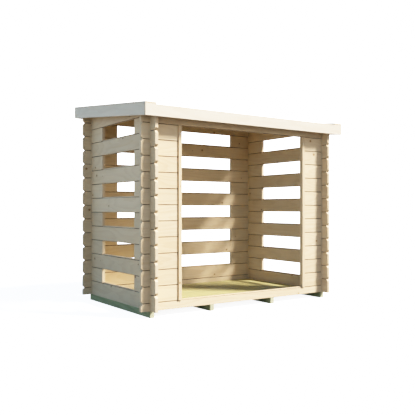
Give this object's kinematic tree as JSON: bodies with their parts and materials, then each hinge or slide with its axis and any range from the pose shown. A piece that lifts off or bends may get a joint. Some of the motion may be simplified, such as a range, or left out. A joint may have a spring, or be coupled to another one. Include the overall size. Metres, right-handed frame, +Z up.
{
  "type": "log store",
  "caption": "Open-fronted firewood store with interlocking corner logs, slotted side and back walls, a raised floor and a low pent roof.",
  "frame": {"origin": "on the ground below the centre of the roof", "axes": "+X along the width, -Y towards the open front, +Z up"},
  "size_m": [1.896, 1.232, 1.6146],
  "materials": {
    "log_spruce": "planed, untreated",
    "trim_spruce": "planed, untreated",
    "roof_spruce": "planed, untreated",
    "bearer_pine": "sawn, pressure treated",
    "floor_pine": "planed, pressure treated",
    "zinc_plated_steel": "heads of nails and screws, zinc plated"
  },
  "bodies": {
    "root": {"bearer_left": "bearer_pine", "bearer_middle_left": "bearer_pine", "bearer_middle_right": "bearer_pine", "bearer_right": "bearer_pine", "floor_boards": "floor_pine", "left_wall_long_logs": "log_spruce", "left_wall_front_short_logs": "log_spruce", "left_wall_rear_short_logs": "log_spruce", "left_gable_board": "log_spruce", "right_wall_long_logs": "log_spruce", "right_wall_front_short_logs": "log_spruce", "right_wall_rear_short_logs": "log_spruce", "right_gable_board": "log_spruce", "back_sill": "log_spruce", "back_wall_long_logs": "log_spruce", "back_wall_left_short_logs": "log_spruce", "back_wall_right_short_logs": "log_spruce", "back_top_board": "log_spruce", "front_sill": "log_spruce", "front_header": "log_spruce", "left_pier_odd_logs": "log_spruce", "left_pier_even_logs": "log_spruce", "right_pier_odd_logs": "log_spruce", "right_pier_even_logs": "log_spruce", "left_jamb_batten": "trim_spruce", "right_jamb_batten": "trim_spruce", "roof_boards_odd": "roof_spruce", "roof_boards_even": "roof_spruce", "front_fascia": "trim_spruce", "back_fascia": "trim_spruce", "left_fascia": "trim_spruce", "right_fascia": "trim_spruce", "left_wind_board": "trim_spruce", "right_wind_board": "trim_spruce"}
  },
  "joints": []
}
